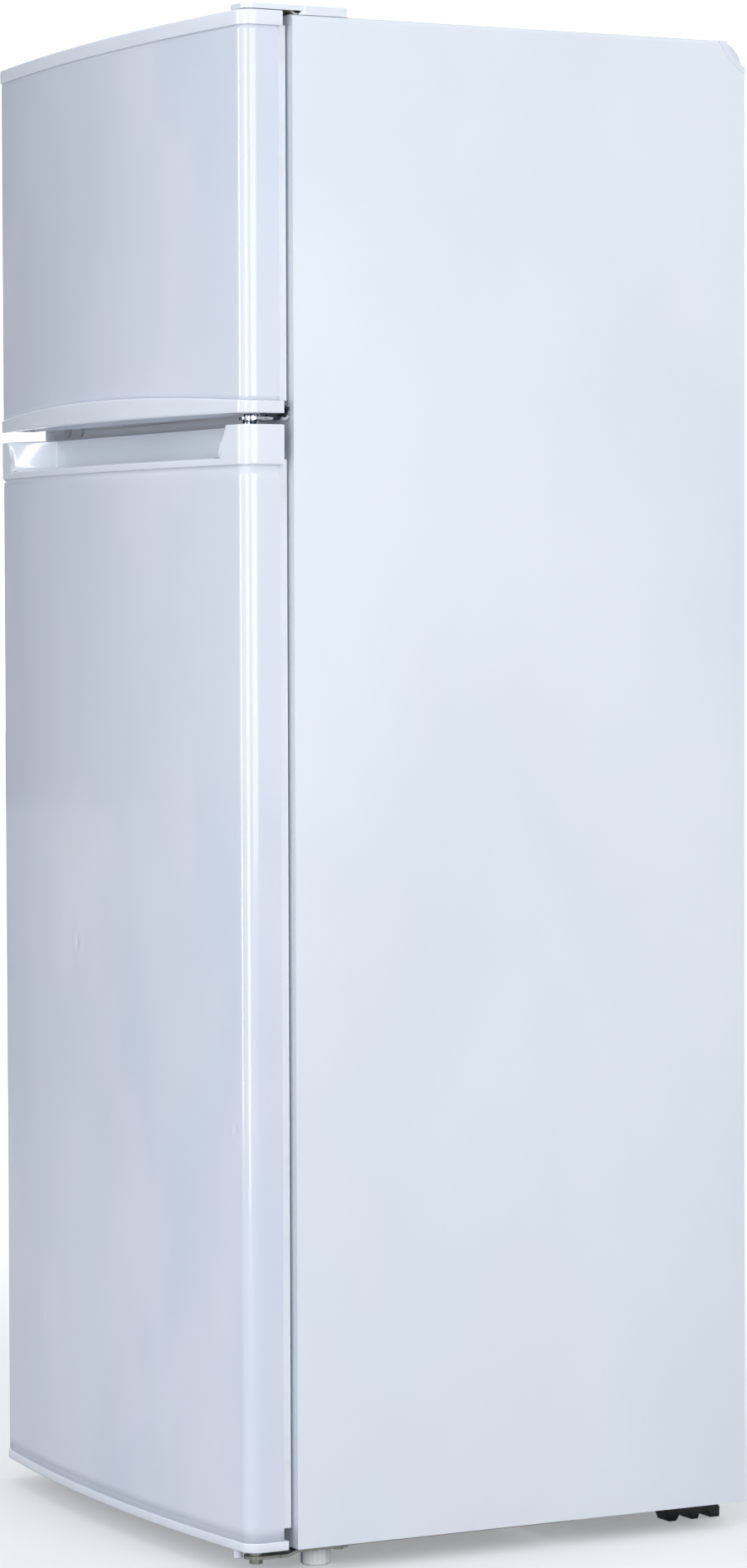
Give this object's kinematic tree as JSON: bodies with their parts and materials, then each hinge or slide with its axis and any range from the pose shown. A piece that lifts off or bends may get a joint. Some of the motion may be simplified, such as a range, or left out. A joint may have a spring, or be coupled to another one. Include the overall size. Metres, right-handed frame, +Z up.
{
  "type": "top freezer refrigerator",
  "caption": "Upright white fridge with a small freezer above, right-hinged bowed doors, a visor grip over a scooped grip cap, levelling feet and a compressor bay behind.",
  "frame": {"origin": "on the floor, under the middle of the bounding box", "axes": "+Z up; the doors face -Y and hinge at +X; +X is to the right for a person facing the doors"},
  "size_m": [0.5524, 0.5458, 1.4022],
  "materials": {
    "body_steel": "satin white enamel",
    "door_steel": "gloss white enamel",
    "rail_steel": "satin white enamel",
    "zinc_steel": "zinc plated",
    "bright_steel": "bright plated",
    "black_steel": "satin black",
    "copper_tube": "drawn copper",
    "evaporator_aluminium": "mill finish",
    "cap_plastic": "gloss white",
    "liner_plastic": "gloss white",
    "clear_plastic": "clear polystyrene",
    "black_plastic": "matt black",
    "white_plastic": "satin white",
    "seal_rubber": "soft grey PVC",
    "black_rubber": "matt",
    "foam": "open cell cut face",
    "shelf_glass": "clear toughened",
    "lamp_glass": "clear"
  },
  "bodies": {
    "cabinet": {"cabinet_wrapper": "body_steel", "rear_panel": "zinc_steel", "base_panel": "zinc_steel", "lower_front_rail": "rail_steel", "mullion_rail": "rail_steel", "rear_top_trim": "cap_plastic", "freezer_liner": "liner_plastic", "fridge_liner": "liner_plastic", "cabinet_foam": "foam", "freezer_evaporator": "evaporator_aluminium", "fridge_evaporator": "evaporator_aluminium", "condenser": "black_steel", "compressor_tray": "black_steel", "compressor": "black_steel", "compressor_grommets": "black_rubber", "relay_box": "black_plastic", "evaporating_pan": "black_plastic", "drain_tube": "black_plastic", "filter_drier": "copper_tube", "refrigerant_tubes": "copper_tube", "cord_gland": "black_plastic", "thermostat_housing": "white_plastic", "lamp_bulb": "lamp_glass", "lamp_cover": "clear_plastic", "shelf_glass": "shelf_glass", "shelf_trims": "white_plastic", "crisper_cover": "shelf_glass", "freezer_shelf": "white_plastic", "ice_tray": "clear_plastic", "top_hinge": "zinc_steel", "top_hinge_cover": "cap_plastic", "middle_hinge": "bright_steel", "bottom_hinge": "zinc_steel", "hinge_screws": "zinc_steel", "hole_plugs": "cap_plastic", "rear_feet": "black_plastic"},
    "freezer_door": {"freezer_door_skin": "door_steel", "freezer_door_top_cap": "cap_plastic", "freezer_handle_cap": "cap_plastic", "freezer_door_liner": "liner_plastic", "freezer_door_foam": "foam", "freezer_gasket": "seal_rubber", "freezer_door_bins": "clear_plastic", "freezer_door_bushes": "white_plastic"},
    "fridge_door": {"fridge_door_skin": "door_steel", "fridge_handle_cap": "cap_plastic", "fridge_door_bottom_cap": "cap_plastic", "fridge_door_liner": "liner_plastic", "fridge_door_foam": "foam", "fridge_gasket": "seal_rubber", "door_shelf_bins": "clear_plastic", "bottle_bin": "clear_plastic", "fridge_door_bushes": "white_plastic"},
    "dairy_lid": {"dairy_lid": "clear_plastic"},
    "crisper_drawer": {"crisper_drawer": "clear_plastic"},
    "thermostat_knob": {"thermostat_knob": "white_plastic"},
    "door_switch_button": {"door_switch_button": "white_plastic"},
    "left_foot": {"left_foot": "white_plastic"},
    "right_foot": {"right_foot": "white_plastic"}
  },
  "joints": [
    {"name": "freezer_door_hinge", "type": "hinge", "parent": "cabinet", "child": "freezer_door", "pos_m": [0.256, -0.23315, 1.21], "axis": [0, 0, 1], "range_deg": [0, 130]},
    {"name": "fridge_door_hinge", "type": "hinge", "parent": "cabinet", "child": "fridge_door", "pos_m": [0.256, -0.23315, 0.52], "axis": [0, 0, 1], "range_deg": [0, 130]},
    {"name": "crisper_slide", "type": "slide", "parent": "cabinet", "child": "crisper_drawer", "axis": [0, -1, 0], "range_m": [0, 0.16]},
    {"name": "dairy_lid_hinge", "type": "hinge", "parent": "fridge_door", "child": "dairy_lid", "pos_m": [0, -0.20415, 0.876], "axis": [1, 0, 0], "range_deg": [0, 65]},
    {"name": "thermostat_turn", "type": "hinge", "parent": "cabinet", "child": "thermostat_knob", "pos_m": [0.12, -0.10915, 0.962], "axis": [0, 1, 0], "range_deg": [0, 270]},
    {"name": "switch_press", "type": "slide", "parent": "cabinet", "child": "door_switch_button", "axis": [0, 1, 0], "range_m": [0, 0.003], "stiffness_N_per_m": 150, "springref_m": -0.006},
    {"name": "left_foot_turn", "type": "hinge", "parent": "cabinet", "child": "left_foot", "pos_m": [-0.24, -0.16515, 0.01], "axis": [0, 0, 1], "continuous": true},
    {"name": "right_foot_turn", "type": "hinge", "parent": "cabinet", "child": "right_foot", "pos_m": [0.24, -0.16515, 0.01], "axis": [0, 0, 1], "continuous": true}
  ],
  "couplings": [
    {"joint": "crisper_slide", "follows": "fridge_door_hinge", "m_per_rad": 0.07}
  ]
}
